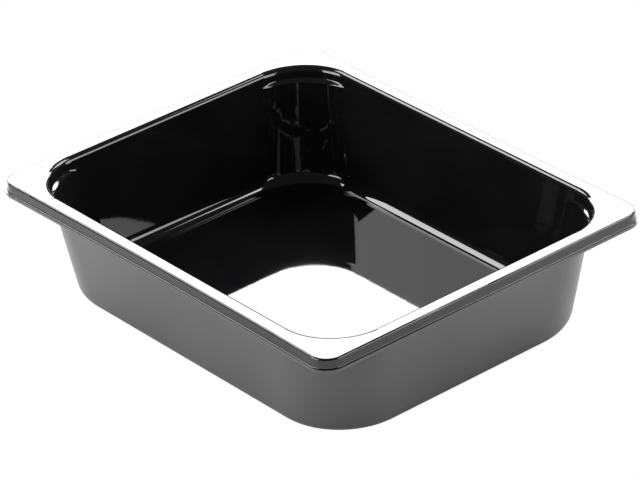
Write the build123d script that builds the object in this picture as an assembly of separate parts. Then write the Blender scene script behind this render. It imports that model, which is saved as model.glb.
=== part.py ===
from build123d import *
import math
import os

# A half-size deli food pan, formed from one two-layer plastic sheet.
# The carrier sheet gives the pan its walls, floor and rim, and is satin on its underside.
# A thin gloss cap covers the whole upper face of the sheet: the cavity, the rim and its skirt.
# Frame: origin at the centre of the underside, +X along the long side, +Z up. Millimetres.

# Overall size, over the rim's lip.
pan_length = 325.0
pan_width = 265.0
pan_height = 80.0

# Sheet.
sheet_thickness = 2.4
cap_thickness = 0.5

# Cavity, at the sharp line where its walls would meet the top of the rim.
mouth_length = 301.0
mouth_width = 238.8
wall_draft_deg = 7.0
mouth_corner_radius = 38.4
wall_corner_radius = 44.0
foot_corner_radius = 48.0
mouth_edge_radius = 3.5
floor_cove_radius = 9.5

# Stacking shoulder in each corner, where the corner radius changes.
shoulder_depth = 7.5
shoulder_height = 2.4
shoulder_steps = 6

# Rim skirt and lip.
rim_depth = 9.0
rim_corner_radius = 12.7
rim_edge_radius = 1.2
side_bow = 1.5
skirt_draft_deg = 3.0
skirt_thickness = 2.1
lip_overhang = 0.9
lip_height = 2.2
lip_root_radius = 0.6

# Outside of the body.
foot_edge_radius = 12.0
channel_root_radius = 1.5

# Levels worked out from the sizes above.
wall_slope = math.tan(math.radians(wall_draft_deg))
skirt_slope = math.tan(math.radians(skirt_draft_deg))
wall_offset = sheet_thickness / math.cos(math.radians(wall_draft_deg))
rim_bottom = pan_height - rim_depth
lip_top = rim_bottom + lip_height
shoulder_top = pan_height - shoulder_depth
shoulder_bottom = shoulder_top - shoulder_height
shoulder_drop = sheet_thickness * math.tan(math.radians(wall_draft_deg) / 2 + math.pi / 8)
overrun = 2.0


def outline(length, width, radius, bow, level):
    """A rounded rectangle at a level; each long side curves inward by the bow at its middle."""
    half_length = length / 2
    half_width = width / 2
    end_width = half_width
    if bow:
        reach = half_length - radius
        bow_radius = (reach**2 + bow**2) / (2 * bow) - radius
        end_width = half_width - bow + bow_radius - math.sqrt(bow_radius**2 - half_length**2)
        front = ThreePointArc((-half_length, -end_width), (0, bow - half_width), (half_length, -end_width))
        back = ThreePointArc((half_length, end_width), (0, half_width - bow), (-half_length, end_width))
    else:
        front = Line((-half_length, -half_width), (half_length, -half_width))
        back = Line((half_length, half_width), (-half_length, half_width))
    right = Line((half_length, -end_width), (half_length, end_width))
    left = Line((-half_length, end_width), (-half_length, -end_width))
    face = make_face([front, right, back, left])
    return Pos(0, 0, level) * fillet(face.vertices(), radius)


def wall_outline(level, radius, grow):
    """The cavity's outline at a level, grown outward; its size follows the draft."""
    inset = (pan_height - level) * wall_slope
    length = mouth_length - 2 * inset + 2 * grow
    width = mouth_width - 2 * inset + 2 * grow
    return outline(length, width, radius + grow, 0, level)


def shoulder_radius(share):
    """The corner radius part way up the shoulder, easing in and out of the walls."""
    ease = share * share * (3 - 2 * share)
    return wall_corner_radius + (mouth_corner_radius - wall_corner_radius) * ease


def tapered_body(bottom, top, grow, drop, edge_radius):
    """The drafted form with a shoulder in each corner and a rounded bottom edge."""
    low = shoulder_bottom - drop
    shoulder = []
    for step in range(shoulder_steps + 1):
        share = step / shoulder_steps
        level = low + shoulder_height * share
        shoulder.append(wall_outline(level, shoulder_radius(share), grow))
    foot = wall_outline(bottom, foot_corner_radius, grow)
    brim = wall_outline(top, mouth_corner_radius, grow)
    lower = loft([foot, shoulder[0]], ruled=True)
    middle = loft(shoulder)
    upper = loft([shoulder[-1], brim], ruled=True)
    form = lower + middle + upper
    bottom_edges = form.faces().sort_by(Axis.Z)[0].edges()
    return fillet(bottom_edges, edge_radius)


def cavity(skin):
    """The space inside the pan, grown by the thickness of the skin taken off the sheet."""
    floor = sheet_thickness - skin
    grow = skin / math.cos(math.radians(wall_draft_deg))
    return tapered_body(floor, pan_height + overrun, grow, 0, floor_cove_radius + skin)


def skirt_outline(level, inset):
    """The skirt's outer outline at a level, drawn in by the inset."""
    back_set = lip_overhang + (level - lip_top) * skirt_slope + inset
    length = pan_length - 2 * back_set
    width = pan_width - 2 * back_set
    return outline(length, width, rim_corner_radius - inset, side_bow, level)


def rim_block(skin):
    """The solid rim with its lip, less the skin on its outer faces."""
    top = pan_height - skin
    lip_face = outline(pan_length, pan_width, rim_corner_radius + lip_overhang, side_bow, rim_bottom)
    lip = extrude(lip_face, lip_height - skin)
    block = loft([skirt_outline(rim_bottom, skin), skirt_outline(top, skin)], ruled=True)
    top_edges = block.faces().sort_by(Axis.Z)[-1].edges()
    rim = fillet(top_edges, rim_edge_radius - skin) + lip
    lip_ledge = rim.faces().filter_by(Axis.Z).sort_by(Axis.Z)[1]
    return fillet(lip_ledge.inner_wires()[0].edges(), lip_root_radius + skin)


def channel():
    """The open space under the rim, between the skirt and the wall."""
    low = skirt_outline(rim_bottom - overrun, skirt_thickness)
    high = skirt_outline(pan_height - sheet_thickness, skirt_thickness)
    space = loft([low, high], ruled=True)
    top_edges = space.faces().sort_by(Axis.Z)[-1].edges()
    return fillet(top_edges, channel_root_radius)


def formed_sheet(skin):
    """The whole formed sheet, less the skin on its upper face."""
    body_top = pan_height - sheet_thickness / 2
    body = tapered_body(0, body_top, wall_offset, shoulder_drop, foot_edge_radius)
    sheet = rim_block(skin) - channel() + body
    sheet = sheet - cavity(skin)
    mouth_edges = sheet.faces().sort_by(Axis.Z)[-1].inner_wires()[0].edges()
    return fillet(mouth_edges, mouth_edge_radius - skin)


def write_node(name, solid):
    """Write one sub-part to its own STEP file."""
    solid.label = name
    export_step(solid, os.path.join("parts", name + ".step"))


os.makedirs("parts", exist_ok=True)
carrier = formed_sheet(cap_thickness)
cap = formed_sheet(0) - carrier
write_node("carrier_shell", carrier)
write_node("gloss_cap", cap)
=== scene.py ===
import math

import bpy
from mathutils import Matrix, Vector

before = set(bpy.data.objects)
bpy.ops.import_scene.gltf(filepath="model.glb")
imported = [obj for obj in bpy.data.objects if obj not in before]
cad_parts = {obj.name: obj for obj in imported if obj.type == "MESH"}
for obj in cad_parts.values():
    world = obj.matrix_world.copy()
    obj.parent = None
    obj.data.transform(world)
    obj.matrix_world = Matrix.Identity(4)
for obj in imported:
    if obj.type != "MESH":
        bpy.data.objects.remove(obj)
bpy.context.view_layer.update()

# ---------------------------------------------------------------- camera
IMAGE_WIDTH = 640
SENSOR_WIDTH = 36.0
FOCAL_PIXELS = 4171.0
CAMERA_AZIMUTH = 51.08
CAMERA_ELEVATION = 29.65
CAMERA_ROLL = -3.154
CAMERA_DISTANCE = 2.6677
CAMERA_SIDE = -0.00035
CAMERA_RISE = 0.01186
AIM_HEIGHT = 0.0325


def make_camera():
    """A long lens at the viewing angle, turned a little about its own axis."""
    azimuth = math.radians(CAMERA_AZIMUTH)
    elevation = math.radians(CAMERA_ELEVATION)
    roll = math.radians(CAMERA_ROLL)
    back = Vector((
        math.sin(azimuth) * math.cos(elevation),
        -math.cos(azimuth) * math.cos(elevation),
        math.sin(elevation),
    ))
    level_right = Vector((math.cos(azimuth), math.sin(azimuth), 0.0))
    level_up = back.cross(level_right)
    right = math.cos(roll) * level_right + math.sin(roll) * level_up
    up = back.cross(right)
    data = bpy.data.cameras.new("camera")
    data.sensor_width = SENSOR_WIDTH
    data.lens = FOCAL_PIXELS / IMAGE_WIDTH * SENSOR_WIDTH
    data.clip_start = 0.1
    data.clip_end = 50.0
    camera = bpy.data.objects.new("camera", data)
    bpy.context.collection.objects.link(camera)
    turn = Matrix((right, up, back)).transposed()
    place = Vector((0, 0, AIM_HEIGHT)) + right * CAMERA_SIDE + up * CAMERA_RISE + back * CAMERA_DISTANCE
    camera.matrix_world = Matrix.Translation(place) @ turn.to_4x4()
    bpy.context.scene.camera = camera
    return back


back = make_camera()


# ---------------------------------------------------------------- materials
def node(tree, kind, **values):
    """Add a node and set its properties and unlinked inputs."""
    made = tree.nodes.new(kind)
    for name, value in values.items():
        if name in made.inputs:
            made.inputs[name].default_value = value
        else:
            setattr(made, name, value)
    return made


def new_material(name):
    """An empty node material with its output."""
    material = bpy.data.materials.new(name)
    material.use_nodes = True
    tree = material.node_tree
    tree.nodes.clear()
    output = node(tree, "ShaderNodeOutputMaterial")
    shader = node(tree, "ShaderNodeBsdfPrincipled")
    tree.links.new(shader.outputs["BSDF"], output.inputs["Surface"])
    return material, tree, shader


def noise(tree, scale, detail=3.0):
    """A noise pattern over the object's own space."""
    place = node(tree, "ShaderNodeTexCoord")
    made = node(tree, "ShaderNodeTexNoise", Scale=scale, Detail=detail)
    tree.links.new(place.outputs["Object"], made.inputs["Vector"])
    return made


def ramp_colour(tree, shader, pattern, dark, light):
    """Drive the base colour between two tones."""
    ramp = node(tree, "ShaderNodeValToRGB")
    ramp.color_ramp.elements[0].position = 0.3
    ramp.color_ramp.elements[1].position = 0.7
    ramp.color_ramp.elements[0].color = (*dark, 1)
    ramp.color_ramp.elements[1].color = (*light, 1)
    tree.links.new(pattern.outputs["Fac"], ramp.inputs["Fac"])
    tree.links.new(ramp.outputs["Color"], shader.inputs["Base Color"])


def vary_roughness(tree, shader, pattern, low, high):
    """Drive the roughness between two values."""
    spread = node(tree, "ShaderNodeMapRange")
    spread.inputs["From Min"].default_value = 0.3
    spread.inputs["From Max"].default_value = 0.7
    spread.inputs["To Min"].default_value = low
    spread.inputs["To Max"].default_value = high
    tree.links.new(pattern.outputs["Fac"], spread.inputs["Value"])
    tree.links.new(spread.outputs["Result"], shader.inputs["Roughness"])


def add_bump(tree, shader, pattern, strength, distance):
    """Raise a fine relief from a pattern."""
    bump = node(tree, "ShaderNodeBump", Strength=strength, Distance=distance)
    tree.links.new(pattern.outputs["Fac"], bump.inputs["Height"])
    tree.links.new(bump.outputs["Normal"], shader.inputs["Normal"])


def make_gloss():
    """Black acrylic cap: deep gloss with a faint unevenness left by forming."""
    material, tree, shader = new_material("gloss_cap")
    shader.inputs["IOR"].default_value = 1.49
    smears = noise(tree, 22.0)
    ramp_colour(tree, shader, smears, (0.0035, 0.0035, 0.004), (0.006, 0.006, 0.0065))
    vary_roughness(tree, shader, smears, 0.015, 0.045)
    add_bump(tree, shader, noise(tree, 260.0, 2.0), 0.12, 0.00004)
    return material


def make_satin():
    """Black satin carrier with a fine moulded grain and slight sheen changes."""
    material, tree, shader = new_material("satin_carrier")
    shader.inputs["IOR"].default_value = 1.52
    patches = noise(tree, 14.0)
    ramp_colour(tree, shader, patches, (0.05, 0.05, 0.052), (0.065, 0.065, 0.067))
    vary_roughness(tree, shader, patches, 0.36, 0.46)
    add_bump(tree, shader, noise(tree, 2600.0, 2.0), 0.25, 0.00006)
    return material


def assign(name, material):
    """Give a CAD node its material."""
    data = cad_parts[name].data
    data.materials.clear()
    data.materials.append(material)


assign("gloss_cap", make_gloss())
assign("carrier_shell", make_satin())


# ---------------------------------------------------------------- floor, world and lamps
def make_floor():
    """A plain white floor."""
    size = 6.0
    mesh = bpy.data.meshes.new("floor")
    mesh.from_pydata([(-size, -size, 0), (size, -size, 0), (size, size, 0), (-size, size, 0)], [], [(0, 1, 2, 3)])
    floor = bpy.data.objects.new("floor", mesh)
    bpy.context.collection.objects.link(floor)
    material = bpy.data.materials.new("floor")
    material.use_nodes = True
    tree = material.node_tree
    tree.nodes.clear()
    output = node(tree, "ShaderNodeOutputMaterial")
    diffuse = node(tree, "ShaderNodeBsdfDiffuse", Color=(0.8, 0.8, 0.8, 1))
    white = node(tree, "ShaderNodeEmission", Strength=1.0)
    path = node(tree, "ShaderNodeLightPath")
    mix = node(tree, "ShaderNodeMixShader")
    tree.links.new(path.outputs["Is Camera Ray"], mix.inputs["Fac"])
    tree.links.new(diffuse.outputs["BSDF"], mix.inputs[1])
    tree.links.new(white.outputs["Emission"], mix.inputs[2])
    tree.links.new(mix.outputs["Shader"], output.inputs["Surface"])
    mesh.materials.append(material)


def make_world():
    """A dim grey surround."""
    world = bpy.data.worlds.new("world")
    bpy.context.scene.world = world
    world.use_nodes = True
    background = world.node_tree.nodes["Background"]
    background.inputs["Color"].default_value = (1, 1, 1, 1)
    background.inputs["Strength"].default_value = 0.12


def area_lamp(name, place, aim, width, height, watts):
    """A soft rectangular lamp facing its aim."""
    data = bpy.data.lights.new(name, "AREA")
    data.shape = "RECTANGLE"
    data.size = width
    data.size_y = height
    data.energy = watts
    lamp = bpy.data.objects.new(name, data)
    lamp.location = place
    lamp.rotation_mode = "QUATERNION"
    lamp.rotation_quaternion = (Vector(aim) - Vector(place)).to_track_quat("-Z", "Y")
    bpy.context.collection.objects.link(lamp)
    return lamp


make_floor()
make_world()
away = Vector((-back.x, -back.y, 0)).normalized()
side = Vector((-away.y, away.x, 0))
area_lamp("back_panel", away * 2.5 + Vector((0, 0, 1.35)), (0, 0, 0.05), 5.0, 1.0, 205)
area_lamp("left_box", away * 1.0 + side * 1.6 + Vector((0, 0, 1.9)), (0, 0, 0.05), 1.2, 1.0, 45)
area_lamp("right_box", away * 1.0 - side * 1.6 + Vector((0, 0, 1.9)), (0, 0, 0.05), 1.2, 1.0, 45)
area_lamp("left_fill", -away * 0.9 + side * 2.2 + Vector((0, 0, 0.7)), (0, 0, 0.04), 1.6, 1.2, 60)
area_lamp("right_fill", -away * 0.9 - side * 2.2 + Vector((0, 0, 0.7)), (0, 0, 0.04), 1.6, 1.2, 45)

scene = bpy.context.scene
scene.view_settings.view_transform = "Standard"
